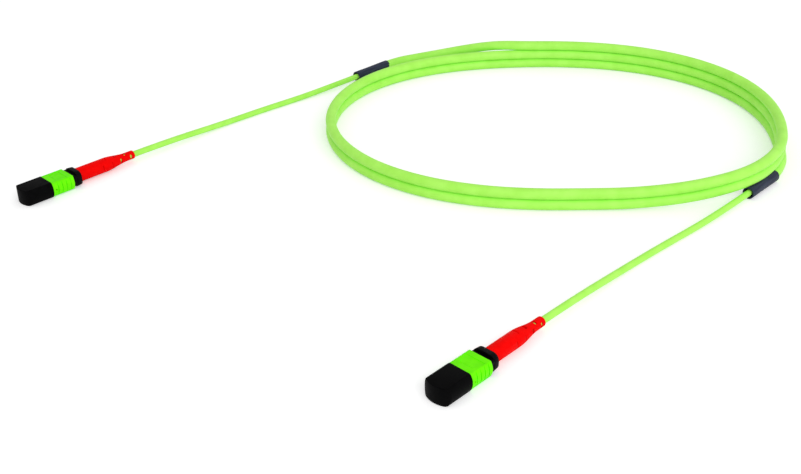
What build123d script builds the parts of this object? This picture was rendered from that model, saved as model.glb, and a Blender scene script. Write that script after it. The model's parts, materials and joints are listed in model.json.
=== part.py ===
from build123d import *
import os
from math import atan2, cos, degrees, pi, radians, sin, tan

# A multi-fibre push-on plug on a coiled trunk cord, with a like plug at the cord's far end.
# Millimetres, +Z up. The near plug lies along X, from its dust cap at -X to its boot at +X. The
# origin is on the floor under the middle of that plug, and the far plug lies beside it along +Y.
# Stations along a plug are distances behind the tip of its dust cap.

os.makedirs("parts", exist_ok=True)

# Gaps between pieces
slide_fit = 0.1  # each side of a piece that slides in another
round_fit = 0.03  # radial gap where one round piece sits in another
cable_fit = 0.05  # each side of a cable or ribbon in its bore
spring_fit = 0.2  # each side of a spring in its room
seat_gap = 0.05  # at each end of a spring

# Dust cap
cap_side_wall = 1.3  # at the middle of a bowed side
cap_height = 7.6
cap_bow = 1.3  # how far a side bows out
cap_length = 13.7
cap_crown = 2.4  # how far the front bows forward
cap_front_wall = 2.4
cap_edge = 0.45
cap_front_edge = 0.25
cap_gap = 0.1  # to the coupling sleeve

# Coupling sleeve
sleeve_side_wall = 0.9  # at the middle of a bowed side, over the ribs
sleeve_height = 6.9
sleeve_bow = 1.0
sleeve_length = 11.0
sleeve_travel = 2.0
sleeve_edge = 0.3
sleeve_corner = 0.6  # inside corners
rib_count = 6
rib_pitch = 1.6
rib_thickness = 0.8
rib_height = 0.22
rib_span = 6.3  # from the lower to the upper end of a rib
recess_start = 3.3  # shallow arrow-shaped panel on top
recess_length = 5.1
recess_front_inset = 2.15  # each side, from the edges of the flat top
recess_rear_inset = 0.6
recess_depth = 0.2
channel_start = 1.8  # room for a coupling spring in the sleeve's side wall
channel_depth = 0.4

# Inner housing
nose_setback = 5.3
nose_step = 0.3  # each side, from the body to the nose
nose_height = 5.0
nose_edge = 0.3
key_width = 3.0
key_height = 0.6
key_setback = 1.0
latch_setback = 4.6  # notches that an adapter's hooks take hold of
latch_length = 2.6
latch_depth = 0.7
latch_height = 3.2
body_side_wall = 1.5
body_height = 5.2
groove_depth = 1.0  # room for a coupling spring in the housing's side
groove_length = 8.4
stop_gap = 0.2  # between the pushed-back sleeve and the collar

# Ferrule, its spacer, ferrule boot and ribbon
ferrule_width = 6.4
ferrule_height = 2.5
ferrule_length = 8.0
ferrule_proud = 0.6
ferrule_travel = 1.0
flange_step = 0.3  # each side, from the ferrule to its flange
flange_height = 3.2
flange_length = 2.0
guide_hole_diameter = 0.7
guide_hole_pitch = 4.6
spacer_inset = 0.1  # each side, within the flange
spacer_length = 1.6
window_width = 3.5  # the ferrule's rear window
window_height = 2.1
window_depth = 4.0
ferrule_boot_tail = 1.7
ribbon_width = 2.7
ribbon_thickness = 0.3
ribbon_slot_setback = 1.3  # from the front of the ferrule boot to its slot
ribbon_gap = 0.5  # left in the slot when the ferrule is pushed back

# Springs
spring_length = 7.2
spring_wire = 0.45
spring_turns = 4
spring_corner = 1.0
side_spring_wire = 0.25
side_spring_turns = 4
wire_sides = 3

# Spring push with its collar and crimp neck
collar_step = 0.1  # each side, from the body to the collar
collar_height = 7.6
collar_corner = 1.7
collar_length = 2.5
collar_taper = 5.0  # degrees, towards the boot
push_slot_height = 1.0
neck_diameter = 4.6
neck_bore = 3.2
neck_length = 6.0
crimp_wall = 0.5  # at the corners that the crimping tool leaves
crimp_sides = 8
crimp_setback = 0.4
crimp_end_gap = 0.2  # from the crimp ring to the end of the neck

# Boot
boot_diameter = 6.85
boot_straight = 14.6
boot_taper = 12.0
boot_tip_diameter = 4.2
boot_tip_length = 5.1
slot_count = 4
slot_pitch = 2.9
slot_width = 0.7
slot_chord = 2.2
slot_end_gap = 2.3  # from the middle of the last slot to the boot's end

# Cord
leg_diameter = 3.0
jacket_setback = 0.8  # from the crimp neck to the end of the leg's jacket
jacket_grip = 0.7  # how far the jacket reaches into the boot's cavity
trunk_diameter = 5.25
heat_sleeve_diameter = 5.7
heat_sleeve_length = 25.0
heat_sleeve_mouth = 4.6  # the open end round the leg
leg_grip = 5.0  # how far a leg goes into its heat sleeve
trunk_grip = 10.0  # how far the trunk goes into a heat sleeve
cord_sides = 6  # the cords' tubes are plain prisms, bent along their routes
bend_share = 0.45  # share of the shorter run that a bend takes up

# Coil: an oval of four arcs, three strands high
coil_x = 179.5
coil_y = 107.9
coil_half_length = 114.1
coil_half_width = 87.2
coil_end_radius = 81.0
coil_tilt = -43.0
coil_strands = 3
lead_straight = 5.0  # the lowest strand's straight run out of the near heat sleeve
lead_join = -12.0  # where the lead joins the oval, as an angle from the oval's long axis

# Places of the far plug and the heat sleeves
far_plug_x = -22.7
far_plug_y = 233.0
near_sleeve_rear = 205.0
near_sleeve_y = -5.3
far_sleeve_rear = 181.0
far_sleeve_y = 227.3

# Stations along a plug
sleeve_front = cap_length + cap_gap
sleeve_rear = sleeve_front + sleeve_length
body_front = sleeve_front + cap_gap
collar_front = sleeve_rear + sleeve_travel + stop_gap
collar_rear = collar_front + collar_length
neck_rear = collar_rear + neck_length
jacket_front = neck_rear + jacket_setback
boot_rear = collar_rear + boot_straight + boot_taper + boot_tip_length
ferrule_front = nose_setback - ferrule_proud
ferrule_rear = ferrule_front + ferrule_length
flange_front = ferrule_rear - flange_length
spacer_rear = ferrule_rear + spacer_length
push_front = spacer_rear + spring_length
ferrule_boot_front = ferrule_rear - window_depth + slide_fit
ferrule_boot_rear = spacer_rear + ferrule_boot_tail
ribbon_slot_front = ferrule_boot_front + ribbon_slot_setback
ribbon_front = ribbon_slot_front + ferrule_travel + ribbon_gap
channel_front = sleeve_front + channel_start
groove_rear = channel_front + groove_length

# Sizes that follow from others
axis_height = cap_height / 2
flange_width = ferrule_width + 2 * flange_step
cavity_width = flange_width + 2 * slide_fit
cavity_height = flange_height + 2 * slide_fit
body_width = cavity_width + 2 * body_side_wall
nose_width = body_width - 2 * nose_step
cap_width = nose_width + 2 * (slide_fit + cap_side_wall)
cap_flat = cap_width - 2 * cap_bow
crown_radius = (cap_crown**2 + (cap_width / 2) ** 2) / (2 * cap_crown)
sleeve_cavity_width = body_width + 2 * slide_fit
sleeve_width = sleeve_cavity_width + 2 * sleeve_side_wall
sleeve_flat = sleeve_width - 2 * sleeve_bow
recess_front_width = sleeve_flat - 2 * recess_front_inset
recess_rear_width = sleeve_flat - 2 * recess_rear_inset
collar_width = body_width + 2 * collar_step
sleeve_cavity_height = body_height + 2 * slide_fit
groove_floor = body_width / 2 - groove_depth
channel_floor = sleeve_cavity_width / 2 + channel_depth
side_spring_offset = (groove_floor + channel_floor) / 2
side_spring_diameter = channel_floor - groove_floor - spring_fit
channel_height = side_spring_diameter + 2 * spring_fit
ribs_length = (rib_count - 1) * rib_pitch + rib_thickness
ribbon_slot_width = ribbon_width + 2 * cable_fit
ribbon_slot_height = ribbon_thickness + 2 * cable_fit
crimp_length = neck_length - crimp_setback - crimp_end_gap
crimp_bore_radius = neck_diameter / 2 + round_fit
crimp_radius = crimp_bore_radius + crimp_wall
boot_cavity_radius = crimp_radius + cable_fit
leg_bore_radius = leg_diameter / 2 + cable_fit
heat_sleeve_axis = heat_sleeve_diameter / 2
coil_height = coil_strands * trunk_diameter

# Where the tip of each plug's dust cap is
near_tip = Vector(-boot_rear / 2, 0, axis_height)
far_tip = near_tip + Vector(far_plug_x, far_plug_y, 0)

# The oval's side arcs are tangent to its end arcs
end_offset = coil_half_length - coil_end_radius
side_radius = (end_offset**2 + coil_half_width**2 - coil_end_radius**2) / (
    2 * (coil_half_width - coil_end_radius)
)
side_offset = side_radius - coil_half_width
end_half_angle = degrees(atan2(side_offset, end_offset))

heat_sleeves = {"near": (near_sleeve_rear, near_sleeve_y), "far": (far_sleeve_rear, far_sleeve_y)}


def station(tip, distance):
    """A plane across a plug, its own x along +Y and its own y along +Z."""
    return Plane(origin=tip + Vector(distance, 0, 0), x_dir=(0, 1, 0), z_dir=(1, 0, 0))


def bowed_section(width, height, flat, corner):
    """A plug's outer section: flat above and below, bowed at the sides, with cut corners."""
    with BuildSketch() as section:
        with BuildLine():
            Line((-flat / 2, height / 2), (flat / 2, height / 2))
            ThreePointArc((flat / 2, height / 2), (width / 2, 0), (flat / 2, -height / 2))
            Line((flat / 2, -height / 2), (-flat / 2, -height / 2))
            ThreePointArc((-flat / 2, -height / 2), (-width / 2, 0), (-flat / 2, height / 2))
        make_face()
        chamfer(section.vertices(), length=corner)
    return section.sketch


def cut_rectangle(width, height, corner):
    """A rectangle with cut corners."""
    with BuildSketch() as section:
        Rectangle(width, height)
        chamfer(section.vertices(), length=corner)
    return section.sketch


def coil_points(start, end, loop, turns, centre):
    """Corners of a spring's wire, going round the loop while climbing from start to end."""
    steps = turns * len(loop)
    points = []
    for step in range(steps + 1):
        across, up = loop[step % len(loop)]
        along = start + (end - start) * step / steps
        points.append(centre + Vector(along, across, up))
    return points


def oval_loop(width, height, corner):
    """The eight corners of a flat spring's turn, seen along its axis."""
    x, y = width / 2, height / 2
    return [
        (x, y - corner), (x - corner, y), (corner - x, y), (-x, y - corner),
        (-x, corner - y), (corner - x, -y), (x - corner, -y), (x, corner - y),
    ]


def round_loop(radius):
    """The corners of a round spring's turn, seen along its axis."""
    sides = 5
    return [(radius * cos(2 * pi * k / sides), radius * sin(2 * pi * k / sides)) for k in range(sides)]


def route_radii(route):
    """The bend radius at each inner point of a cord's route."""
    radii = []
    for before, corner, after in zip(route, route[1:], route[2:]):
        run_in = corner - before
        run_out = after - corner
        half_turn = radians(run_in.get_angle(run_out) / 2)
        radii.append(bend_share * min(run_in.length, run_out.length) / tan(half_turn))
    return radii


def save(builder, name):
    """Names a finished piece and writes its file."""
    builder.part.label = name
    export_step(builder.part, f"parts/{name}.step")


for end, tip in (("near", near_tip), ("far", far_tip)):

    # Dust cap: a bowed block with a crowned front, hollowed for the nose and its key
    with BuildPart() as dust_cap:
        with BuildSketch(station(tip, 0)):
            add(bowed_section(cap_width, cap_height, cap_flat, cap_edge))
        extrude(amount=cap_length)
        with BuildSketch(Plane(tip)):
            with Locations((crown_radius, 0)):
                Circle(crown_radius)
            with Locations((crown_radius + cap_length / 2, 0)):
                Rectangle(cap_length, 2 * crown_radius)
        extrude(amount=cap_height, both=True, mode=Mode.INTERSECT)
        chamfer(dust_cap.faces().sort_by(Axis.X)[0].edges(), length=cap_front_edge)
        with BuildSketch(station(tip, cap_front_wall)):
            Rectangle(nose_width + 2 * slide_fit, nose_height + 2 * slide_fit)
            with Locations((0, nose_height / 2)):
                Rectangle(key_width + 2 * slide_fit, 2 * (key_height + slide_fit))
        extrude(amount=cap_length - cap_front_wall, mode=Mode.SUBTRACT)
    save(dust_cap, f"{end}_dust_cap")

    # Coupling sleeve: a bowed tube with ribbed sides and two inner channels for its springs
    with BuildPart() as coupling_sleeve:
        with BuildSketch(station(tip, sleeve_front)):
            add(bowed_section(sleeve_width - 2 * rib_height, sleeve_height, sleeve_flat, sleeve_edge))
        extrude(amount=sleeve_length)
        for rib in range(rib_count):
            rib_front = sleeve_front + (sleeve_length - ribs_length) / 2 + rib * rib_pitch
            with BuildSketch(station(tip, rib_front)):
                add(bowed_section(sleeve_width, rib_span, sleeve_flat, sleeve_edge))
            extrude(amount=rib_thickness)
        with BuildSketch(Plane(tip + Vector(sleeve_front + recess_start, 0, sleeve_height / 2))):
            with BuildLine():
                Polyline(
                    (0, recess_front_width / 2),
                    (0, -recess_front_width / 2),
                    (recess_length, -recess_rear_width / 2),
                    (recess_length, recess_rear_width / 2),
                    close=True,
                )
            make_face()
        extrude(amount=-recess_depth, mode=Mode.SUBTRACT)
        with BuildSketch(station(tip, sleeve_front)):
            add(cut_rectangle(sleeve_cavity_width, sleeve_cavity_height, sleeve_corner))
        extrude(amount=sleeve_length, mode=Mode.SUBTRACT)
        with BuildSketch(station(tip, channel_front)):
            Rectangle(2 * channel_floor, channel_height)
        extrude(amount=sleeve_length - channel_start, mode=Mode.SUBTRACT)
    save(coupling_sleeve, f"{end}_coupling_sleeve")

    # Pair of coupling springs, one on each side between the housing and the sleeve
    with BuildPart() as coupling_springs:
        for side in (-1, 1):
            side_points = coil_points(
                channel_front + seat_gap + side_spring_wire / 2,
                groove_rear - seat_gap - side_spring_wire / 2,
                round_loop((side_spring_diameter - side_spring_wire) / 2),
                side_spring_turns,
                tip + Vector(0, side * side_spring_offset, 0),
            )
            with BuildLine() as side_path:
                Polyline(*side_points)
            with BuildSketch(Plane(origin=side_path.line @ 0, z_dir=side_path.line % 0)):
                RegularPolygon(side_spring_wire / 2, wire_sides)
            sweep(path=side_path.line, transition=Transition.RIGHT)
    save(coupling_springs, f"{end}_coupling_springs")

    # Inner housing: the nose with its key, the ferrule's window and the spring's room behind it
    with BuildPart() as inner_housing:
        with BuildSketch(station(tip, nose_setback)):
            add(cut_rectangle(nose_width, nose_height, nose_edge))
        extrude(amount=collar_front - nose_setback)
        with BuildSketch(station(tip, nose_setback + key_setback)):
            with Locations((0, (nose_height / 2 + key_height) / 2)):
                Rectangle(key_width, nose_height / 2 + key_height)
        extrude(amount=cap_length - nose_setback - key_setback)
        with BuildSketch(station(tip, body_front)):
            add(cut_rectangle(body_width, body_height, sleeve_corner))
        extrude(amount=collar_front - body_front)
        with BuildSketch(station(tip, nose_setback)):
            Rectangle(ferrule_width + 2 * slide_fit, ferrule_height + 2 * slide_fit)
        extrude(amount=flange_front - nose_setback, mode=Mode.SUBTRACT)
        with BuildSketch(station(tip, flange_front)):
            Rectangle(cavity_width, cavity_height)
        extrude(amount=collar_front - flange_front, mode=Mode.SUBTRACT)
        with BuildSketch(station(tip, nose_setback + latch_setback)):
            with Locations((-nose_width / 2, 0), (nose_width / 2, 0)):
                Rectangle(2 * latch_depth, latch_height)
        extrude(amount=latch_length, mode=Mode.SUBTRACT)
        with BuildSketch(station(tip, channel_front)):
            with Locations((-body_width / 2, 0), (body_width / 2, 0)):
                Rectangle(2 * groove_depth, channel_height)
        extrude(amount=groove_length, mode=Mode.SUBTRACT)
    save(inner_housing, f"{end}_inner_housing")

    # Ferrule: a block with a rear flange, two guide holes and a rear window for the ribbon
    with BuildPart() as ferrule:
        with BuildSketch(station(tip, ferrule_front)):
            Rectangle(ferrule_width, ferrule_height)
        extrude(amount=ferrule_length)
        with BuildSketch(station(tip, flange_front)):
            Rectangle(flange_width, flange_height)
        extrude(amount=flange_length)
        with BuildSketch(station(tip, ferrule_rear)):
            Rectangle(window_width, window_height)
        extrude(amount=-window_depth, mode=Mode.SUBTRACT)
        with BuildSketch(station(tip, ferrule_front)):
            with Locations((-guide_hole_pitch / 2, 0), (guide_hole_pitch / 2, 0)):
                Circle(guide_hole_diameter / 2)
        extrude(amount=ferrule_length, mode=Mode.SUBTRACT)
    save(ferrule, f"{end}_ferrule")

    # Spacer between the ferrule and its spring
    with BuildPart() as ferrule_spacer:
        with BuildSketch(station(tip, ferrule_rear)):
            Rectangle(flange_width - 2 * spacer_inset, flange_height - 2 * spacer_inset)
            Rectangle(window_width, window_height, mode=Mode.SUBTRACT)
        extrude(amount=spacer_length)
    save(ferrule_spacer, f"{end}_ferrule_spacer")

    # Ferrule boot: a soft block in the ferrule's window, slotted for the ribbon
    with BuildPart() as ferrule_boot:
        with BuildSketch(station(tip, ferrule_boot_front)):
            Rectangle(window_width - 2 * slide_fit, window_height - 2 * slide_fit)
        extrude(amount=ferrule_boot_rear - ferrule_boot_front)
        with BuildSketch(station(tip, ribbon_slot_front)):
            Rectangle(ribbon_slot_width, ribbon_slot_height)
        extrude(amount=ferrule_boot_rear - ribbon_slot_front, mode=Mode.SUBTRACT)
    save(ferrule_boot, f"{end}_ferrule_boot")

    # Fibre ribbon, from the ferrule boot to the end of the leg's jacket
    with BuildPart() as fibre_ribbon:
        with BuildSketch(station(tip, ribbon_front)):
            Rectangle(ribbon_width, ribbon_thickness)
        extrude(amount=jacket_front - ribbon_front)
    save(fibre_ribbon, f"{end}_fibre_ribbon")

    # Flat ferrule spring between the spacer and the spring push
    with BuildPart() as ferrule_spring:
        spring_loop = oval_loop(
            cavity_width - 2 * spring_fit - spring_wire,
            cavity_height - 2 * spring_fit - spring_wire,
            spring_corner,
        )
        spring_points = coil_points(
            spacer_rear + seat_gap + spring_wire / 2,
            push_front - seat_gap - spring_wire / 2,
            spring_loop,
            spring_turns,
            tip,
        )
        with BuildLine() as spring_path:
            Polyline(*spring_points)
        with BuildSketch(Plane(origin=spring_path.line @ 0, z_dir=spring_path.line % 0)):
            RegularPolygon(spring_wire / 2, wire_sides)
        sweep(path=spring_path.line, transition=Transition.RIGHT)
    save(ferrule_spring, f"{end}_ferrule_spring")

    # Spring push: a block in the housing, the collar behind it and the neck for the crimp ring
    with BuildPart() as spring_push:
        with BuildSketch(station(tip, collar_front)):
            add(cut_rectangle(collar_width, collar_height, collar_corner))
        extrude(amount=collar_length, taper=collar_taper)
        with BuildSketch(station(tip, push_front)):
            Rectangle(flange_width, flange_height)
        extrude(amount=collar_front - push_front)
        with BuildSketch(station(tip, collar_rear)):
            Circle(neck_diameter / 2)
        extrude(amount=neck_length)
        with BuildSketch(station(tip, push_front)):
            Rectangle(neck_bore, push_slot_height)
        extrude(amount=collar_rear - push_front, mode=Mode.SUBTRACT)
        with BuildSketch(station(tip, collar_rear)):
            Circle(neck_bore / 2)
        extrude(amount=neck_length, mode=Mode.SUBTRACT)
    save(spring_push, f"{end}_spring_push")

    # Crimp ring on the neck, its outside pressed to flats
    with BuildPart() as crimp_ring:
        with BuildSketch(station(tip, collar_rear + crimp_setback)):
            RegularPolygon(crimp_radius, crimp_sides)
            Circle(crimp_bore_radius, mode=Mode.SUBTRACT)
        extrude(amount=crimp_length)
    save(crimp_ring, f"{end}_crimp_ring")

    # Boot: a turned form that tapers to a thin tip, hollow over the crimp, slotted crosswise to bend
    with BuildPart() as boot:
        cavity_end = jacket_front + jacket_grip
        with BuildSketch(Plane(origin=tip, x_dir=(1, 0, 0), z_dir=(0, -1, 0))):
            with BuildLine():
                Polyline(
                    (collar_rear, boot_diameter / 2),
                    (collar_rear + boot_straight, boot_diameter / 2),
                    (boot_rear - boot_tip_length, boot_tip_diameter / 2),
                    (boot_rear, boot_tip_diameter / 2),
                    (boot_rear, leg_bore_radius),
                    (cavity_end, leg_bore_radius),
                    (cavity_end, boot_cavity_radius),
                    (collar_rear, boot_cavity_radius),
                    close=True,
                )
            make_face()
        revolve(axis=Axis(tip, (1, 0, 0)))
        for slot in range(slot_count):
            slot_middle = tip + Vector(boot_rear - slot_end_gap - slot * slot_pitch, 0, 0)
            quarter_turn = 90 * (slot % 2)
            with Locations(Location(slot_middle, (quarter_turn, 0, 0))):
                Box(slot_width, boot_diameter, slot_chord, mode=Mode.SUBTRACT)
    save(boot, f"{end}_boot")

    # Heat-shrink sleeve where the leg goes into the trunk
    sleeve_end_x, sleeve_y = heat_sleeves[end]
    sleeve_tip = Vector(sleeve_end_x - heat_sleeve_length, sleeve_y, heat_sleeve_axis)
    with BuildPart() as heat_sleeve:
        with BuildSketch(station(sleeve_tip, 0)):
            Circle(heat_sleeve_diameter / 2)
        extrude(amount=heat_sleeve_length)
        with BuildSketch(station(sleeve_tip, 0)):
            Circle(heat_sleeve_mouth / 2)
        extrude(amount=leg_grip, mode=Mode.SUBTRACT)
        with BuildSketch(station(sleeve_tip, heat_sleeve_length)):
            Circle(trunk_diameter / 2 + round_fit)
        extrude(amount=-trunk_grip, mode=Mode.SUBTRACT)
    save(heat_sleeve, f"{end}_heat_sleeve")

# Trunk coil: the outer shape of three strands laid on each other, and the lead of the lowest strand,
# which runs out of the near heat sleeve and curves into the oval
with BuildPart() as trunk_coil:
    tilt = radians(coil_tilt)
    oval_plane = Plane((coil_x, coil_y, 0), x_dir=(cos(tilt), sin(tilt), 0))
    with BuildLine(oval_plane) as coil_path:
        CenterArc((end_offset, 0), coil_end_radius, -end_half_angle, 2 * end_half_angle)
        CenterArc((0, -side_offset), side_radius, end_half_angle, 180 - 2 * end_half_angle)
        CenterArc((-end_offset, 0), coil_end_radius, 180 - end_half_angle, 2 * end_half_angle)
        CenterArc((0, side_offset), side_radius, 180 + end_half_angle, 180 - 2 * end_half_angle)
    coil_start = Plane(origin=coil_path.line @ 0, x_dir=(0, 0, 1), z_dir=coil_path.line % 0)
    with BuildSketch(coil_start):
        with Locations((coil_height / 2, 0)):
            Rectangle(coil_height, trunk_diameter)
    sweep(path=coil_path.line)
    join = radians(lead_join)
    join_place = oval_plane.from_local_coords(
        (end_offset + coil_end_radius * cos(join), coil_end_radius * sin(join), heat_sleeve_axis)
    )
    lead_start = Vector(near_sleeve_rear - trunk_grip, near_sleeve_y, heat_sleeve_axis)
    lead_corner = lead_start + Vector(trunk_grip + lead_straight, 0, 0)
    with BuildLine() as lead_path:
        Line(lead_start, lead_corner)
        TangentArc(lead_corner, join_place, tangent=(1, 0, 0))
    with BuildSketch(station(lead_start, 0)):
        RegularPolygon(trunk_diameter / 2, cord_sides)
    sweep(path=lead_path.line)
save(trunk_coil, "trunk_coil")

# Routes of the cord where it isn't coiled
leg_height = leg_diameter / 2
coil_top = coil_height - trunk_diameter / 2
far_leg_end = far_tip + Vector(jacket_front, 0, 0)
near_leg_route = [
    near_tip + Vector(jacket_front, 0, 0),
    Vector(46, 0, axis_height),
    Vector(87, 0.2, leg_height),
    Vector(114, -1.3, leg_height),
    Vector(140, -3.4, leg_height),
    Vector(163.5, near_sleeve_y, heat_sleeve_axis),
    Vector(near_sleeve_rear - heat_sleeve_length + leg_grip, near_sleeve_y, heat_sleeve_axis),
]
far_leg_route = [
    Vector(far_sleeve_rear - heat_sleeve_length + leg_grip, far_sleeve_y, heat_sleeve_axis),
    Vector(140, far_sleeve_y, heat_sleeve_axis),
    Vector(117, 230, leg_height),
    Vector(91, 232.4, leg_height),
    Vector(65, 233.6, leg_height),
    Vector(23.5, far_leg_end.Y, axis_height),
    far_leg_end,
]
trunk_tail_route = [
    Vector(250, 160.8, coil_top),
    Vector(239.2, 172, coil_top),
    Vector(232.5, 181.8, 12.9),
    Vector(226.8, 192, 11.0),
    Vector(220.3, 203.8, 7.6),
    Vector(211.5, 214, 4.7),
    Vector(200.3, 222, 3.2),
    Vector(187.5, far_sleeve_y, heat_sleeve_axis),
    Vector(far_sleeve_rear - trunk_grip, far_sleeve_y, heat_sleeve_axis),
]
cords = {
    "near_leg": (near_leg_route, leg_diameter),
    "far_leg": (far_leg_route, leg_diameter),
    "trunk_tail": (trunk_tail_route, trunk_diameter),
}
for name, (route, diameter) in cords.items():
    bends = route_radii(route)
    with BuildPart() as cord:
        with BuildLine() as cord_path:
            FilletPolyline(*route, radius=bends)
        with BuildSketch(Plane(origin=cord_path.line @ 0, z_dir=cord_path.line % 0)):
            RegularPolygon(diameter / 2, cord_sides)
        sweep(path=cord_path.line)
    save(cord, name)
    cord_length = cord_path.wire().length
    section_area = cord_sides / 2 * (diameter / 2) ** 2 * sin(2 * pi / cord_sides)
    print(name, "length", round(cord_length, 1), "bends", [round(bend) for bend in bends])
    print(name, "volume over section times length", round(cord.part.volume / section_area / cord_length, 4))
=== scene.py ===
# %% [markdown]
# A multi-fibre push-on plug on a lime trunk cord
#
# The cord lies on a white table: a plug at each end, a thin leg from each plug to a dark shrunk
# sleeve, and the thick trunk between the sleeves wound in a coil. The solids of the part come in
# as a fixed frame, in metres, and everything here is built around them.

# %% Load the frame
import json
from math import cos, pi, radians, sin
import bmesh
import bpy
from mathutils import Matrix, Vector


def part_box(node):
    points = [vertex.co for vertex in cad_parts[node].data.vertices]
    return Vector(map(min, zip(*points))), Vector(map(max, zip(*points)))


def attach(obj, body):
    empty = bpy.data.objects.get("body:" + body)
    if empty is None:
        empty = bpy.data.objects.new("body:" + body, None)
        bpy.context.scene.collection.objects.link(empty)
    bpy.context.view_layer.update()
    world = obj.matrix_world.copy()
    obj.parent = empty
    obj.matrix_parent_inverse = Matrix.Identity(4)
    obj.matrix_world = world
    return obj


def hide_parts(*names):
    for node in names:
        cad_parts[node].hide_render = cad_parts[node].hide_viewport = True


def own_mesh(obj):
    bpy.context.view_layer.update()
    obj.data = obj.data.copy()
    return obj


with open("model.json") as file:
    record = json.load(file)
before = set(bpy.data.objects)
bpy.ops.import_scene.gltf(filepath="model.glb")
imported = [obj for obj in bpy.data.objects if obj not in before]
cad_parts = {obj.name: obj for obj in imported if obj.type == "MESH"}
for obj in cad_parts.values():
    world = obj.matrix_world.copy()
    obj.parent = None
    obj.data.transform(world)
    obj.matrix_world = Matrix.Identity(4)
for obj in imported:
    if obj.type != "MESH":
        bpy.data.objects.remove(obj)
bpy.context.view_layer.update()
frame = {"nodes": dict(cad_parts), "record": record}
nodes = frame["nodes"]
mm = 0.001

# %% [markdown]
# The camera stands before the near plug's cap, off to one side, and looks over the plug at the coil,
# about thirty degrees down. A lens could be tried by eye. This one follows from the picture: the places
# of the plugs and the coil in it fit a focal length of 1100 pixels in a frame 801 pixels wide.

# %% Camera
picture_width = 801
focal_pixels = 1100
sensor_width = 36
camera_place = Vector((-0.2551, -0.1976, 0.2399))
heading = radians(43.5)
downward = radians(30.16)

bpy.ops.object.select_all(action="DESELECT")
bpy.ops.object.camera_add(location=camera_place, rotation=(pi / 2 - downward, 0, heading - pi / 2))
camera = bpy.context.object
camera.name = "photo_camera"
camera.data.sensor_width = sensor_width
camera.data.lens = focal_pixels * sensor_width / picture_width
camera.data.clip_start = 10 * mm
bpy.context.scene.camera = camera
print("lens", round(camera.data.lens, 2), "mm")

# %% [markdown]
# Colours are written as they look on a screen, in hex, and one function turns them to the linear
# values that a shader works in. A second small function adds a node, sets it and links it, so that
# each material below reads as a list of its nodes.

# %% Colour and node helpers
def linear(hex_colour):
    """The linear colour of an sRGB hex value."""
    channels = [int(hex_colour[k:k + 2], 16) / 255 for k in (1, 3, 5)]
    return [c / 12.92 if c <= 0.04045 else ((c + 0.055) / 1.055) ** 2.4 for c in channels] + [1]


def add_node(tree, kind, links=(), **settings):
    """Adds a node, sets its properties and input values, and links other outputs to its inputs."""
    node = tree.nodes.new(kind)
    for name, value in settings.items():
        if hasattr(node, name):
            setattr(node, name, value)
        else:
            node.inputs[name.replace("_", " ")].default_value = value
    for output, name in links:
        tree.links.new(output, node.inputs[name])
    return node


def start_material(name):
    """A new material with its shader, and the nodes to build on."""
    material = bpy.data.materials.new(name)
    material.use_nodes = True
    shader = material.node_tree.nodes["Principled BSDF"]
    return material, material.node_tree, shader


def per_metre(size_mm):
    """The scale of a pattern whose marks are this many millimetres apart."""
    return 1 / (size_mm * mm)


print("white is", linear("#FFFFFF"))

# %% [markdown]
# The table is a large white sheet. A plain plane is enough, because the cord only lies on it and drops a
# soft shadow. A little glow lifts what the camera sees of the sheet to white. A stronger lamp would do
# that too, but it would bleach the cord.

# %% Table
table_size = 12.0
bpy.ops.object.select_all(action="DESELECT")
bpy.ops.mesh.primitive_plane_add(size=table_size, location=(0, 0, 0))
table = bpy.context.object
table.name = "table"
paper, tree, shader = start_material("white_paper_sheet")
shader.inputs["Base Color"].default_value = linear("#F4F4F4")
shader.inputs["Roughness"].default_value = 0.9
seen = add_node(tree, "ShaderNodeLightPath")
direct = add_node(tree, "ShaderNodeMath", [(seen.outputs["Is Camera Ray"], 0),
                                           (seen.outputs["Is Glossy Ray"], 1)], operation="MAXIMUM")
lift = add_node(tree, "ShaderNodeMapRange", [(direct.outputs[0], "Value")], To_Min=0, To_Max=0.3)
tree.links.new(lift.outputs["Result"], shader.inputs["Emission Strength"])
shader.inputs["Emission Color"].default_value = linear("#FFFFFF")
table.data.materials.append(paper)
print("table", table_size, "m wide")

# %% [markdown]
# The light is soft and even, as in a tent of white cloth, and a white sky gives most of it. The camera
# sees that sky at full white, while the cord is lit by a dimmer one. With the lamp below, that is about
# as strong as it takes to show a colour as it is written.

# %% Sky
sky = bpy.data.worlds.new("studio_sky")
bpy.context.scene.world = sky
sky.use_nodes = True
tree = sky.node_tree
seen = add_node(tree, "ShaderNodeLightPath")
direct = add_node(tree, "ShaderNodeMath", [(seen.outputs["Is Camera Ray"], 0),
                                           (seen.outputs["Is Transmission Ray"], 1)], operation="MAXIMUM")
level = add_node(tree, "ShaderNodeMapRange", [(direct.outputs[0], "Value")], To_Min=0.72, To_Max=1.0)
backdrop = tree.nodes["Background"]
backdrop.inputs["Color"].default_value = linear("#FFFFFF")
tree.links.new(level.outputs["Result"], backdrop.inputs["Strength"])
bpy.context.scene.view_settings.view_transform = "Standard"
print("sky seen at", level.inputs["To Max"].default_value)

# %% [markdown]
# A broad lamp behind the camera, up to its right, lights the sides that the camera sees. A sun would
# draw hard edges, and a wide square lamp gives the round cord an easy change from light to shade.

# %% Lamp
lamp_place = Vector((-0.35, -1.1, 0.8))
lamp_target = Vector((0.1, 0.1, 0))
lamp_turn = (lamp_target - lamp_place).to_track_quat("-Z", "Y").to_euler()
bpy.ops.object.select_all(action="DESELECT")
bpy.ops.object.light_add(type="AREA", location=lamp_place, rotation=lamp_turn)
lamp = bpy.context.object
lamp.name = "broad_lamp"
lamp.data.size = 1.2
lamp.data.energy = 9
print("lamp of", lamp.data.energy, "W")

# %% [markdown]
# Nearly every piece below does the same three things when it is made: it rides on a body of the part,
# it stands in for the plain solid that the part has in that place, and it takes one of the part's
# finishes. One function does all three and keeps a list of the pieces by finish, for painting later.

# %% A function that settles a finished piece
pieces_of = {}


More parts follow.
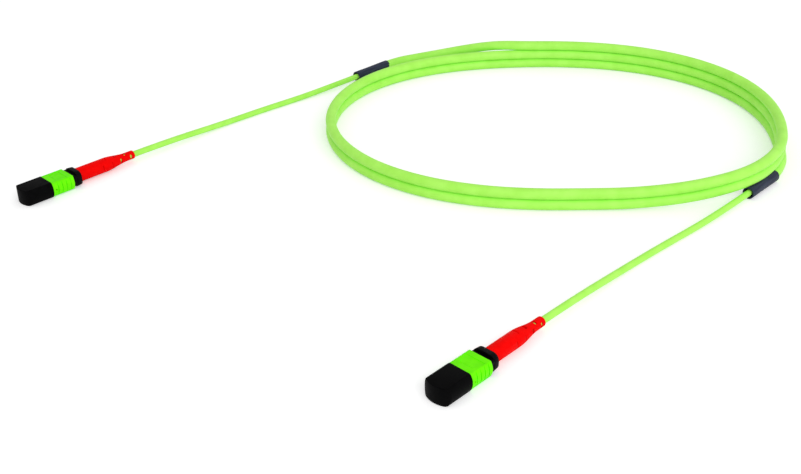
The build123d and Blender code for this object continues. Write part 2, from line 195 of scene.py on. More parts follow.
def settle(piece, body, slot, *replaced):
    """Lets a piece ride on a body in place of the solids it replaces, and notes its finish."""
    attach(piece, body)
    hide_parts(*replaced)
    pieces_of.setdefault(slot, []).append(piece)


def pick(piece):
    """Makes one piece the only one selected, and the active one."""
    bpy.ops.object.select_all(action="DESELECT")
    bpy.context.view_layer.objects.active = piece
    piece.select_set(True)


# %% [markdown]
# The cord is three lengths: a leg from each plug and the trunk between the two sleeves. Each is one
# smooth curve with a round bevel, because a cable is one round section drawn along its line. A NURBS
# curve of order three bends evenly past its points, as a stiff cable does. Its order is set after
# its points, or it would stay a chain of straight runs. The bevel is one metre deep and each point's
# radius is the cable's own, because Blender adds that radius to the curve's box.

# %% A function for a length of cable
def lay_cable(name, points_mm, diameter_mm):
    """A round cable along a smooth line that these control points lead."""
    curve = bpy.data.curves.new(name, "CURVE")
    curve.dimensions = "3D"
    curve.bevel_depth = 1
    curve.bevel_resolution = 6
    curve.resolution_u = 10
    curve.use_fill_caps = True
    spline = curve.splines.new("NURBS")
    spline.points.add(len(points_mm) - 1)
    for place, point in zip(points_mm, spline.points):
        point.co = [c * mm for c in place] + [1]
        point.radius = diameter_mm * mm / 2
    spline.order_u = 3
    spline.use_endpoint_u = True
    cable = bpy.data.objects.new(name, curve)
    bpy.context.scene.collection.objects.link(cable)
    return cable


print("cables are laid from control points in millimetres")

# %% [markdown]
# The legs come straight out of the boots, sink to the table under their own weight, and rise again where
# they enter the sleeves, which are thicker than the legs. A simulation could drop them, but a few given
# points keep each leg on its line in the picture.

# %% Legs
leg_diameter = 3.0
near_leg_points = [
    (5.7, 0, 3.8), (46, 0, 3.8), (87, 0.2, 1.5), (114, -1.3, 1.5),
    (140, -3.4, 1.5), (163.5, -5.3, 2.85), (185, -5.3, 2.85),
]
far_leg_points = [
    (161, 227.3, 2.85), (140, 227.3, 2.85), (117, 230, 1.5), (91, 232.4, 1.5),
    (65, 233.6, 1.5), (23.5, 233, 3.8), (-17, 233, 3.8),
]
near_leg = lay_cable("near_leg_jacket", near_leg_points, leg_diameter)
far_leg = lay_cable("far_leg_jacket", far_leg_points, leg_diameter)
settle(near_leg, "cord_and_housings", "cable_lime", "near_leg")
settle(far_leg, "cord_and_housings", "cable_lime", "far_leg")
print("legs of", len(near_leg_points), "and", len(far_leg_points), "points")

# %% [markdown]
# The trunk leaves the near sleeve and goes round an oval a little over two times. It lies flat on
# the table, then on itself: once in each turn it climbs over its own start. Points placed by hand would
# leave dents, so a loop works out the turns, with a swell of the radius for the oval and a bulge where
# the cable climbs. From the top turn it drifts outwards and comes down to the far sleeve.

# %% Trunk
trunk_diameter = 5.25
coil_centre = (179.5, 107.9)
coil_radius = 100.6
coil_swell = 13.4
coil_tilt = radians(-43)
coil_start = radians(-58)
points_per_turn = 24
turn_step = 2 * pi / points_per_turn
coil_steps = 56
climb_start = radians(-125)
climb_end = radians(-88)
bulge = 11.4
bulge_middle = radians(-89)
bulge_half_width = radians(43)
corner_pull = 0.75 + 0.25 * cos(turn_step)  # the curve runs this share of the way out to its points


def smooth(share):
    """A rise from 0 to 1 that starts and ends gently."""
    share = min(max(share, 0), 1)
    return share * share * (3 - 2 * share)


def coil_point(step):
    """A control point of the coiled trunk."""
    lap, within_lap = divmod(step, points_per_turn)
    angle = coil_start + within_lap * turn_step
    climb = smooth((angle - 2 * pi - climb_start) / (climb_end - climb_start))
    from_bulge = (angle - bulge_middle + pi) % (2 * pi) - pi
    swing = min(abs(from_bulge) / bulge_half_width, 1)
    radius = coil_radius + coil_swell * cos(2 * (angle - coil_tilt)) + bulge * cos(swing * pi / 2) ** 2
    radius = radius / corner_pull
    height = trunk_diameter * (0.5 + lap + climb)
    return (coil_centre[0] + radius * cos(angle), coil_centre[1] + radius * sin(angle), height)


trunk_points = [(195, -5.3, 2.85), (214, -5.3, 2.75)]
trunk_points += [coil_point(step) for step in range(coil_steps)]
trunk_points += [
    (232.5, 181.8, 12.9), (226.8, 192, 11.0), (220.3, 203.8, 7.6), (211.5, 214, 4.7),
    (200.3, 222, 3.2), (187.5, 227.3, 2.85), (171, 227.3, 2.85),
]
trunk = lay_cable("trunk_jacket", trunk_points, trunk_diameter)
settle(trunk, "cord_and_housings", "cable_lime", "trunk_coil", "trunk_tail")
print("trunk of", len(trunk_points), "points")

# %% [markdown]
# Boots and sleeves are turned forms: the same round section all along, only wider or narrower. By
# hand that is a circle, extruded from ring to ring and scaled at each, so one function does it. A spun
# outline would do as well, but it can come out inside out. The last ring meets the first, which closes
# the wall, and the doubled points are merged.

# %% A function for a turned piece
turned_sides = 64
ring_weld = 0.002  # points that are closer than this are merged


def turn_piece(name, rings_mm, tip_mm, sides=turned_sides):
    """A closed turned wall along X: rings are (distance behind the tip, radius) in millimetres."""
    x, y, z = [c * mm for c in tip_mm]
    first_distance, first_radius = rings_mm[0]
    bpy.ops.object.select_all(action="DESELECT")
    bpy.ops.mesh.primitive_circle_add(vertices=sides, radius=first_radius * mm, rotation=(0, pi / 2, 0),
                                      location=(x + first_distance * mm, y, z))
    piece = bpy.context.object
    piece.name = name
    bpy.ops.object.transform_apply(location=True, rotation=True, scale=True)
    bpy.ops.object.mode_set(mode="EDIT")
    bpy.ops.mesh.select_all(action="SELECT")
    for (distance, radius), (next_distance, next_radius) in zip(rings_mm, rings_mm[1:]):
        step = (next_distance - distance) * mm
        grow = next_radius / radius
        bpy.ops.mesh.extrude_region_move(TRANSFORM_OT_translate={"value": (step, 0, 0)})
        bpy.ops.transform.resize(value=(1, grow, grow), center_override=(x + next_distance * mm, y, z))
    bpy.ops.mesh.select_all(action="SELECT")
    bpy.ops.mesh.remove_doubles(threshold=ring_weld * mm)
    bpy.ops.mesh.normals_make_consistent(inside=False)
    bpy.ops.object.mode_set(mode="OBJECT")
    return piece


print("turned pieces have", turned_sides, "sides")

# %% [markdown]
# Slots and grooves are cut out of a form, and plates are laid on one. Pushing faces in by hand would need
# an edge beside every slot first, so a boolean does it: one function makes a block to cut with, and one
# takes forms away or joins them. A third rounds what is sharp, because no moulded edge is, and a rounded
# one catches the light.

# %% Functions that cut, join and round
sharp_angle = 35


def block(centre_mm, size_mm):
    """A box about a place, to cut with."""
    bpy.ops.object.select_all(action="DESELECT")
    bpy.ops.mesh.primitive_cube_add(size=1, location=[c * mm for c in centre_mm],
                                    scale=[c * mm for c in size_mm])
    bpy.ops.object.transform_apply(location=True, rotation=True, scale=True)
    return bpy.context.object


def combine(piece, others, operation="DIFFERENCE"):
    """Cuts other forms out of a piece, or joins them to it, and removes them."""
    pick(others[0])
    for form in others:
        form.select_set(True)
    bpy.ops.object.join()
    pick(piece)
    change = piece.modifiers.new("change", "BOOLEAN")
    change.operation = operation
    change.solver = "EXACT"
    change.object = others[0]
    bpy.ops.object.modifier_apply(modifier=change.name)
    bpy.data.objects.remove(others[0])


def round_edges(piece, width_mm, angle=sharp_angle):
    """Rounds the sharp edges of a piece and shades it smooth."""
    pick(piece)
    bevel = piece.modifiers.new("edge", "BEVEL")
    bevel.width = width_mm * mm
    bevel.segments = 2
    bevel.limit_method = "ANGLE"
    bevel.angle_limit = radians(angle)
    bpy.ops.object.modifier_apply(modifier=bevel.name)
    bpy.ops.object.shade_smooth_by_angle(angle=radians(angle))


print("edges that turn by more than", sharp_angle, "degrees are rounded")

# %% [markdown]
# The boot keeps the leg from kinking where it leaves the plug. It is a soft moulding, thick over the
# crimp and thin at its end, with an easy S between the two, and slots across it let it bend. Pairs of
# slots face sideways and up and down in turn. Dark stripes could stand for them, but blocks cut them for
# real: wide ones at the thin end, where the lime leg shows in them, and fine slits further up, which stay
# dark in the thick wall.

# %% Boots
tips = {"near": (-30.6, 0, 3.8), "far": (-53.3, 233, 3.8)}
boot_front = 29.5
boot_front_edge = 0.15
boot_radius = 3.425
boot_taper_start = 45.0
boot_taper_end = 57.0
boot_tip_radius = 2.1
boot_rear = 61.2
boot_round = 0.45
boot_bore = 1.55
boot_room_end = 37.0
boot_room_radius = 2.88
taper_steps = 9
slot_places = [58.9, 56.0, 53.1, 50.2]
slot_width = 1.1
slot_chord = 2.4
slot_through = 4 * boot_radius
slit_places = [47.7, 45.1, 42.5]
slit_width = 0.3
slit_chord = 3.2
slot_edge = 0.06


def boot_rings():
    """The boot's section, from its front edge along its outside and back through its bore."""
    rings = [(boot_front, boot_radius - boot_front_edge), (boot_front + boot_front_edge, boot_radius)]
    for step in range(taper_steps + 1):
        share = step / taper_steps
        distance = boot_taper_start + (boot_taper_end - boot_taper_start) * share
        rings.append((distance, boot_radius - (boot_radius - boot_tip_radius) * smooth(share)))
    for turn in (0, 30, 60, 90):
        sweep = radians(turn)
        rings.append((boot_rear - boot_round * (1 - sin(sweep)),
                      boot_tip_radius - boot_round * (1 - cos(sweep))))
    return rings + [(boot_rear, boot_bore), (boot_room_end, boot_bore), (boot_room_end, boot_room_radius),
                    (boot_front, boot_room_radius), rings[0]]


for end, tip in tips.items():
    boot = turn_piece(end + "_boot_moulding", boot_rings(), tip)
    slots = []
    for k, place in enumerate(slot_places + slit_places):
        width, chord = (slot_width, slot_chord) if place in slot_places else (slit_width, slit_chord)
        section = (slot_through, chord) if k % 2 == 0 else (chord, slot_through)
        slots.append(block((tip[0] + place, tip[1], tip[2]), (width, *section)))
    combine(boot, slots)
    round_edges(boot, slot_edge)
    settle(boot, "cord_and_housings", "boot_red", end + "_boot")
    print(boot.name, len(boot.data.polygons), "faces")

# %% [markdown]
# Where a leg goes into the trunk, a dark tube is shrunk over the joint. Its cut end stands open round
# the thin leg, so the leg comes out of a dark hollow, and the other end grips the trunk. A closed
# cylinder would be quicker, but the hollow is what shows that it is a tube.

# %% Shrunk sleeves
sleeve_radius = 2.85
sleeve_round = 0.2
sleeve_lip = 0.06
sleeve_length = 25.0
sleeve_waist = [(4, 0), (9, 0.07), (14, 0.04), (19, 0)]  # how far the tube is drawn in along its length
sleeve_hollow = 2.3
sleeve_hollow_depth = 4.5
leg_grip_radius = 1.45
trunk_grip_radius = 2.65
trunk_grip_depth = 4.0
sleeve_end_wall = 0.02
hollow_edge = 0.1
sleeve_sharp_angle = 40
sleeve_places = {"near": (180, -5.3, 2.85), "far": (156, 227.3, 2.85)}


def sleeve_rings():
    """The sleeve's section: a tube with a deep hollow at the leg and a snug end on the trunk."""
    outside = [(0, sleeve_radius - sleeve_round), (sleeve_lip, sleeve_radius - sleeve_lip),
               (sleeve_round, sleeve_radius)]
    outside += [(place, sleeve_radius - drawn_in) for place, drawn_in in sleeve_waist]
    outside += [(sleeve_length - sleeve_round, sleeve_radius),
                (sleeve_length - sleeve_lip, sleeve_radius - sleeve_lip),
                (sleeve_length, trunk_grip_radius + sleeve_end_wall)]
    inside = [(sleeve_length, trunk_grip_radius), (sleeve_length - trunk_grip_depth, trunk_grip_radius),
              (sleeve_length - trunk_grip_depth, leg_grip_radius), (sleeve_hollow_depth, leg_grip_radius),
              (sleeve_hollow_depth, sleeve_hollow), (hollow_edge, sleeve_hollow),
              (0, sleeve_hollow + hollow_edge)]
    return outside + inside + [outside[0]]


shrunk_sleeves = {}
for end, place in sleeve_places.items():
    sleeve = turn_piece(end + "_shrunk_sleeve", sleeve_rings(), place)
    bpy.ops.object.shade_smooth_by_angle(angle=radians(sleeve_sharp_angle))
    settle(sleeve, "cord_and_housings", "heat_shrink_slate", end + "_heat_sleeve")
    shrunk_sleeves[end] = sleeve
    print(sleeve.name, len(sleeve.data.polygons), "faces")

# %% [markdown]
# Some solids already have the right shape, so a piece can start from a copy of one instead of from a
# cube. A solid's mesh is loose triangles. The copy is merged to one mesh, and triangles that lie flat
# side by side become one face again, because bevels and cuts work well only on such a mesh.

# %% A function for a clean copy of a solid
solid_weld = 0.001
flat_angle = 1


def clean_copy(node, name):
    """A copy of a solid as one mesh with whole flat faces."""
    piece = bpy.data.objects.new(name, nodes[node].data.copy())
    bpy.context.scene.collection.objects.link(piece)
    pick(piece)
    bpy.ops.mesh.customdata_custom_splitnormals_clear()
    bpy.ops.object.mode_set(mode="EDIT")
    bpy.ops.mesh.select_all(action="SELECT")
    bpy.ops.mesh.remove_doubles(threshold=solid_weld * mm)
    bpy.ops.mesh.dissolve_limited(angle_limit=radians(flat_angle))
    bpy.ops.object.mode_set(mode="OBJECT")
    return piece


print("a copy's faces are whole where they are flat within", flat_angle, "degree")

# %% [markdown]
# The cap, the housing and the ferrule are hard mouldings. What their solids lack is the small round that
# a mould leaves on every edge, which catches the light, so a bevel rounds the edges of a copy.

# %% Dust caps, housings and ferrules
moulded_sharp_angle = 20
mouldings = [
    # solid, finish, body, width of the rounded edge in millimetres
    ("dust_cap", "cap_black", "{}_cap", 0.16),
    ("inner_housing", "housing_black", "cord_and_housings", 0.08),
    ("ferrule", "ferrule_grey", "{}_ferrule_set", 0.03),
]
for end in tips:
    for solid, slot, body, edge in mouldings:
        piece = clean_copy(f"{end}_{solid}", f"{end}_{solid}_moulding")
        round_edges(piece, edge, angle=moulded_sharp_angle)
        settle(piece, body.format(end), slot, f"{end}_{solid}")
        print(piece.name, len(piece.data.polygons), "faces")

# %% [markdown]
# The coupling sleeve is pulled back to release the plug, so its bowed sides are grooved for the fingers.
# The solid has low ribs there instead. Picking their faces off one by one would be slow, so a plate is
# laid over them. It is part of a turned ring, which gives it its bow, and blocks cut it to its height.

# %% Plates for the sides of the coupling sleeve
bow_sides = 96
plate_span = (13.85, 24.75)
plate_radius = 5.5
plate_thickness = 0.4
plate_height = 5.8
plate_cover = 0.04  # how far a plate stands out over the ribs


def band(name, start, end, inside, outside, centre_mm):
    """A plain ring along X, between two distances behind the tip and two radii."""
    section = [(start, inside), (start, outside), (end, outside), (end, inside), (start, inside)]
    return turn_piece(name, section, centre_mm, sides=bow_sides)


def side_plate(tip_mm, side, half_width):
    """A bowed plate over the ribs of one side."""
    bow_centre = tip_mm[1] + side * (half_width + plate_cover - plate_radius)
    plate = band("plate", *plate_span, plate_radius - plate_thickness, plate_radius,
                 (tip_mm[0], bow_centre, tip_mm[2]))
    wide = 4 * plate_radius
    middle = tip_mm[0] + sum(plate_span) / 2
    rise = (plate_height + wide) / 2
    combine(plate, [block((middle, bow_centre, tip_mm[2] + rise), (wide, wide, wide))])
    combine(plate, [block((middle, bow_centre, tip_mm[2] - rise), (wide, wide, wide))])
    combine(plate, [block((middle, bow_centre - side * wide / 2, tip_mm[2]), (wide, wide, wide))])
    return plate


print("plates from", plate_span[0], "to", plate_span[1], "mm behind the tip")

# %% [markdown]
# Straight blocks would cut a groove deep in the middle of the bow and shallow at its ends. A ring follows
# the bow from top to bottom, so rings cut the grooves. A rod cuts the small hole in front of them.

# %% Grooves and holes in those sides
groove_places = [16.3, 18.5, 20.7, 22.9]
groove_width = 0.5
groove_depth = 0.4
groove_radius = 7.84
groove_reach = 1.8  # how far a cutting ring stands out past the groove's floor
hole_place = 15.3
hole_radius = 0.4
hole_depth = 0.75
rod_length = 2.0


def side_cuts(tip_mm, side, half_width):
    """The rings that cut the grooves of one side, and the rod that cuts its hole."""
    floor = tip_mm[1] + side * (half_width - groove_depth)
    bow_centre = (tip_mm[0], floor - side * groove_radius, tip_mm[2])
    cuts = [band("groove", place - groove_width / 2, place + groove_width / 2, groove_radius,
                 groove_radius + groove_reach, bow_centre) for place in groove_places]
    rod_offset = half_width - hole_depth + rod_length / 2
    rod_middle = (tip_mm[0] + hole_place, tip_mm[1] + side * rod_offset, tip_mm[2])
    bpy.ops.object.select_all(action="DESELECT")
    bpy.ops.mesh.primitive_cylinder_add(vertices=32, radius=hole_radius * mm, depth=rod_length * mm,
                                        rotation=(pi / 2, 0, 0), location=[c * mm for c in rod_middle])
    bpy.ops.object.transform_apply(location=True, rotation=True, scale=True)
    return cuts + [bpy.context.object]


print(len(groove_places), "grooves and a hole in each side")

# %% [markdown]
# The sleeve is then put together: a copy of the solid, the two plates joined to it, and the grooves and
# holes cut out. The shallow panel on its top ends in a fine line, which is too narrow for paint to show
# well, so a thin block cuts that too.

# %% Coupling sleeves
line_place = 17.1
line_size = (0.3, 5.9, 0.9)  # half of its height is above the sleeve's top
grip_edge = 0.06
for end, tip in tips.items():
    low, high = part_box(end + "_coupling_sleeve")
    half_width = (high.y - low.y) / 2 / mm
    grip = clean_copy(end + "_coupling_sleeve", end + "_coupling_sleeve_moulding")
    combine(grip, [side_plate(tip, side, half_width) for side in (-1, 1)], "UNION")
    for side in (-1, 1):
        combine(grip, side_cuts(tip, side, half_width))
    combine(grip, [block((tip[0] + line_place, tip[1], high.z / mm), line_size)])
    round_edges(grip, grip_edge, angle=moulded_sharp_angle)
    settle(grip, end + "_coupling", "sleeve_lime", end + "_coupling_sleeve")
    print(grip.name, round(2 * half_width, 2), "mm wide,", len(grip.data.polygons), "faces")

# %% [markdown]
# Behind the coupling sleeve is a black collar, part of the piece that holds the ferrule's spring. Its
# corners are round rather than cut, so the edges along the collar are bevelled wide first, and then
# all edges are softened as before.

# %% Collars
collar_span = (27.0, 29.5)
collar_corner_round = 1.1
collar_edge = 0.12
collar_sharp_angle = 25
same_place = 0.01  # ends of edges that are closer than this count as level


def select_long_edges(piece, start, end):
    """Selects, in edit mode, the edges that run along X from start to end."""
    mesh = bmesh.from_edit_mesh(piece.data)
    for edge in mesh.edges:
        ends = sorted(vert.co.x for vert in edge.verts)
        edge.select_set(abs(ends[0] - start) < same_place * mm and abs(ends[1] - end) < same_place * mm)
    bmesh.update_edit_mesh(piece.data)


for end, tip in tips.items():
    push = clean_copy(end + "_spring_push", end + "_collar_moulding")
    bpy.ops.object.mode_set(mode="EDIT")
    bpy.ops.mesh.select_mode(type="EDGE")
    bpy.ops.mesh.select_all(action="DESELECT")
    select_long_edges(push, (tip[0] + collar_span[0]) * mm, (tip[0] + collar_span[1]) * mm)
    bpy.ops.mesh.bevel(offset=collar_corner_round * mm, segments=4, affect="EDGES")
    bpy.ops.object.mode_set(mode="OBJECT")
    round_edges(push, collar_edge, angle=collar_sharp_angle)
    settle(push, "cord_and_housings", "housing_black", end + "_spring_push")
    print(push.name, len(push.data.polygons), "faces")

# %% [markdown]
# Twelve glass fibres end in a row in the ferrule's polished face, an eighth of a millimetre wide and a
# quarter of a millimetre apart. They show when the cap is off. One is modelled, a short rod with a
# rounded end, and the row is copies of it joined to one piece.

# %% Fibre ends
fibre_count = 12
fibre_pitch = 0.25
fibre_radius = 0.0625
fibre_edge = 0.012
ferrule_front = 4.7
fibre_rod = (0.3, -0.02)  # from this far inside the ferrule to this far in front of it
fibre_ends = {}
for end, tip in tips.items():
    rod_middle = tip[0] + ferrule_front + sum(fibre_rod) / 2
    across = tip[1] - (fibre_count - 1) / 2 * fibre_pitch
    bpy.ops.object.select_all(action="DESELECT")
    bpy.ops.mesh.primitive_cylinder_add(
        vertices=16, radius=fibre_radius * mm, depth=(fibre_rod[0] - fibre_rod[1]) * mm,
        rotation=(0, pi / 2, 0), location=(rod_middle * mm, across * mm, tip[2] * mm))
    bpy.ops.object.transform_apply(location=True, rotation=True, scale=True)
    rods = [bpy.context.object]
    rods[0].name = end + "_fibre_ends"
    round_edges(rods[0], fibre_edge)
    for k in range(1, fibre_count):
        pick(rods[0])
        bpy.ops.object.duplicate()
        bpy.ops.transform.translate(value=(0, k * fibre_pitch * mm, 0))
        bpy.ops.object.transform_apply(location=True, rotation=True, scale=True)
        rods.append(bpy.context.object)
    pick(rods[0])
    for rod in rods:
        rod.select_set(True)
    bpy.ops.object.join()
    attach(rods[0], end + "_ferrule_set")
    fibre_ends[end] = rods[0]
    print(rods[0].name, len(rods[0].data.polygons), "faces")

# %% [markdown]
# Springs sit in the sleeve's side walls and behind the ferrule. When the sleeve or the ferrule is pushed
# back, its spring gets shorter while its rear end stays put. A spring can't follow either side of the joint,
# so each is a copy of its solid, shaded smooth, with a mesh of its own.

# %% Springs
wire_sharp_angle = 70
for joint in frame["record"]["behaviour"]["joints"]:
    for row in joint.get("deforming_nodes", []):
        spring = clean_copy(row["node"], row["node"] + "_wire")
        bpy.ops.object.shade_smooth_by_angle(angle=radians(wire_sharp_angle))
        settle(spring, "cord_and_housings", "spring_steel", row["node"])
        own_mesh(spring)

# %% [markdown]
# A drawn cord keeps one shape, but a real one can be laid anew. The far plug hangs on the far end of the
# cord, so its pieces, and those of its solids that still show, are gathered in a list.

far_pieces = [piece for group in pieces_of.values() for piece in group if piece.name.startswith("far_")]
far_pieces = [piece for piece in far_pieces if piece not in (far_leg, shrunk_sleeves["far"])]
far_solids = [nodes[name] for name in sorted(nodes) if name.startswith("far_")]
far_pieces += [solid for solid in far_solids if not solid.hide_render]
print("near leg, trunk and far leg declared, with", len(far_pieces), "pieces of the far plug")

# %% [markdown]
# The cable's jacket is an extruded low-smoke compound: one even colour with a satin skin. Extruding
# leaves very fine lines along the cable and a faint cloudiness, a few millimetres across, and that is
# all there is to see. It could be one flat colour, but a long tube of that looks like paint.

# %% Extruded jacket
finish_of = {}
jacket, tree, shader = start_material("lime_extruded_jacket")
finish_of["cable_lime"] = jacket
place = add_node(tree, "ShaderNodeTexCoord")
cloud = add_node(tree, "ShaderNodeTexNoise", [(place.outputs["Object"], "Vector")],
                 Scale=per_metre(6), Detail=2)
tone = add_node(tree, "ShaderNodeValToRGB", [(cloud.outputs["Fac"], "Fac")])
tone.color_ramp.elements[0].position = 0.3
tone.color_ramp.elements[0].color = linear("#A9F658")
tone.color_ramp.elements[1].position = 0.7
tone.color_ramp.elements[1].color = linear("#B4FD66")
# draw lines are a few hundredths of a millimetre apart, drawn at 0.4 mm so that they show
line_spacing = 0.4
line_count = pi * trunk_diameter / line_spacing
stretch = add_node(tree, "ShaderNodeMapping", [(place.outputs["UV"], "Vector")],
                   Scale=(line_count, line_count, 1))
lines = add_node(tree, "ShaderNodeTexNoise", [(stretch.outputs["Vector"], "Vector")], Scale=1, Detail=1)
skin = add_node(tree, "ShaderNodeBump", [(lines.outputs["Fac"], "Height")],
                Strength=0.35, Distance=0.03 * mm)
satin = add_node(tree, "ShaderNodeMapRange", [(cloud.outputs["Fac"], "Value")], To_Min=0.42, To_Max=0.56)
tree.links.new(tone.outputs["Color"], shader.inputs["Base Color"])
tree.links.new(satin.outputs["Result"], shader.inputs["Roughness"])
tree.links.new(skin.outputs["Normal"], shader.inputs["Normal"])
shader.inputs["IOR"].default_value = 1.5
shader.inputs["Specular IOR Level"].default_value = 0.25
print(jacket.name, "with", round(line_count), "lines round the trunk")

# %% [markdown]
# The coupling sleeve is moulded polyester in a strong lime. The mould was spark-eroded, so the skin has
# a fine even grain, and thick and thin walls cool a little differently, which shades the colour. One
# noise can't be both slow and fine, so the shades and the grain have a noise each.

# %% Moulded coupling sleeve
moulded_lime, tree, shader = start_material("lime_moulded_polyester")
finish_of["sleeve_lime"] = moulded_lime
place = add_node(tree, "ShaderNodeTexCoord")
cooling = add_node(tree, "ShaderNodeTexNoise", [(place.outputs["Object"], "Vector")],
                   Scale=per_metre(3), Detail=1)
tone = add_node(tree, "ShaderNodeValToRGB", [(cooling.outputs["Fac"], "Fac")])
tone.color_ramp.elements[0].position = 0.3
tone.color_ramp.elements[0].color = linear("#69F400")
tone.color_ramp.elements[1].position = 0.7
tone.color_ramp.elements[1].color = linear("#72FC02")
# the grain is about 0.05 mm, drawn at 0.2 mm so that it shows
grain = add_node(tree, "ShaderNodeTexNoise", [(place.outputs["Object"], "Vector")],
                 Scale=per_metre(0.2), Detail=3)
skin = add_node(tree, "ShaderNodeBump", [(grain.outputs["Fac"], "Height")],
                Strength=0.3, Distance=0.01 * mm)
satin = add_node(tree, "ShaderNodeMapRange", [(grain.outputs["Fac"], "Value")], To_Min=0.4, To_Max=0.6)
tree.links.new(tone.outputs["Color"], shader.inputs["Base Color"])
tree.links.new(satin.outputs["Result"], shader.inputs["Roughness"])
tree.links.new(skin.outputs["Normal"], shader.inputs["Normal"])
shader.inputs["IOR"].default_value = 1.57
shader.inputs["Specular IOR Level"].default_value = 0.06
print(moulded_lime.name, "with a grain of 0.2 mm")

# %% [markdown]
# The dust cap is a soft polyethylene, deep black. Its skin is waxy, with slow dull and shiny patches
# from handling, and it reflects little, so that it stays black under a white sky. A colour of zero would
# swallow its shape, so the black is a little above that, and the patches are in the roughness too.

# %% Moulded dust cap
cap_black, tree, shader = start_material("black_moulded_polyethylene")
finish_of["cap_black"] = cap_black
place = add_node(tree, "ShaderNodeTexCoord")
handling = add_node(tree, "ShaderNodeTexNoise", [(place.outputs["Object"], "Vector")],
                    Scale=per_metre(2.5), Detail=3)
tone = add_node(tree, "ShaderNodeValToRGB", [(handling.outputs["Fac"], "Fac")])
tone.color_ramp.elements[0].position = 0.35
tone.color_ramp.elements[0].color = linear("#030303")
tone.color_ramp.elements[1].position = 0.7
tone.color_ramp.elements[1].color = linear("#070708")
waxy = add_node(tree, "ShaderNodeMapRange", [(handling.outputs["Fac"], "Value")], To_Min=0.4, To_Max=0.75)
# the grain is about 0.05 mm, drawn at 0.25 mm so that it shows
grain = add_node(tree, "ShaderNodeTexNoise", [(place.outputs["Object"], "Vector")],
                 Scale=per_metre(0.25), Detail=2)
skin = add_node(tree, "ShaderNodeBump", [(grain.outputs["Fac"], "Height")],
                Strength=0.25, Distance=0.01 * mm)
tree.links.new(tone.outputs["Color"], shader.inputs["Base Color"])
tree.links.new(waxy.outputs["Result"], shader.inputs["Roughness"])
tree.links.new(skin.outputs["Normal"], shader.inputs["Normal"])
shader.inputs["IOR"].default_value = 1.51
shader.inputs["Specular IOR Level"].default_value = 0.03
print(cap_black.name, "with handling marks of 2.5 mm")

# %% [markdown]
# The housing and the collar are a black polyester filled with short glass, which is harder and a
# little greyer than the cap. The glass leaves faint streaks along the way the plastic flowed. An image
# of plastic could show them, but a noise that is stretched along the plug needs no file.

# %% Moulded housing and collar
housing_black, tree, shader = start_material("black_glass_filled_polyester")
finish_of["housing_black"] = housing_black
place = add_node(tree, "ShaderNodeTexCoord")
along = add_node(tree, "ShaderNodeMapping", [(place.outputs["Object"], "Vector")],
                 Scale=(per_metre(3), per_metre(0.4), per_metre(0.4)))
flow = add_node(tree, "ShaderNodeTexNoise", [(along.outputs["Vector"], "Vector")], Scale=1, Detail=3)
tone = add_node(tree, "ShaderNodeValToRGB", [(flow.outputs["Fac"], "Fac")])
tone.color_ramp.elements[0].position = 0.4
tone.color_ramp.elements[0].color = linear("#040404")
tone.color_ramp.elements[1].position = 0.75
tone.color_ramp.elements[1].color = linear("#0C0C0D")
skin = add_node(tree, "ShaderNodeBump", [(flow.outputs["Fac"], "Height")], Strength=0.2, Distance=0.01 * mm)
satin = add_node(tree, "ShaderNodeMapRange", [(flow.outputs["Fac"], "Value")], To_Min=0.38, To_Max=0.6)
tree.links.new(tone.outputs["Color"], shader.inputs["Base Color"])
tree.links.new(satin.outputs["Result"], shader.inputs["Roughness"])
tree.links.new(skin.outputs["Normal"], shader.inputs["Normal"])
shader.inputs["IOR"].default_value = 1.57
shader.inputs["Specular IOR Level"].default_value = 0.04
print(housing_black.name, "with flow streaks of 0.4 by 3 mm")

# %% [markdown]
# The boot is a red elastomer, soft and saturated, moulded with a silky skin. One flat red would look
# painted, so a faint cloudiness shades it, and a very fine grain breaks up its shine.

# %% Moulded boot
boot_red, tree, shader = start_material("red_moulded_elastomer")
finish_of["boot_red"] = boot_red
place = add_node(tree, "ShaderNodeTexCoord")
cloud = add_node(tree, "ShaderNodeTexNoise", [(place.outputs["Object"], "Vector")],
                 Scale=per_metre(2), Detail=2)
tone = add_node(tree, "ShaderNodeValToRGB", [(cloud.outputs["Fac"], "Fac")])
tone.color_ramp.elements[0].position = 0.3
tone.color_ramp.elements[0].color = linear("#EE0000")
tone.color_ramp.elements[1].position = 0.7
tone.color_ramp.elements[1].color = linear("#FA0201")
# the grain is about 0.05 mm, drawn at 0.3 mm so that it shows
grain = add_node(tree, "ShaderNodeTexNoise", [(place.outputs["Object"], "Vector")],
                 Scale=per_metre(0.3), Detail=3)
skin = add_node(tree, "ShaderNodeBump", [(grain.outputs["Fac"], "Height")],
                Strength=0.3, Distance=0.012 * mm)
silk = add_node(tree, "ShaderNodeMapRange", [(grain.outputs["Fac"], "Value")], To_Min=0.45, To_Max=0.7)
tree.links.new(tone.outputs["Color"], shader.inputs["Base Color"])
tree.links.new(silk.outputs["Result"], shader.inputs["Roughness"])
tree.links.new(skin.outputs["Normal"], shader.inputs["Normal"])
shader.inputs["IOR"].default_value = 1.5
shader.inputs["Specular IOR Level"].default_value = 0.04
print(boot_red.name, "with a grain of 0.3 mm")
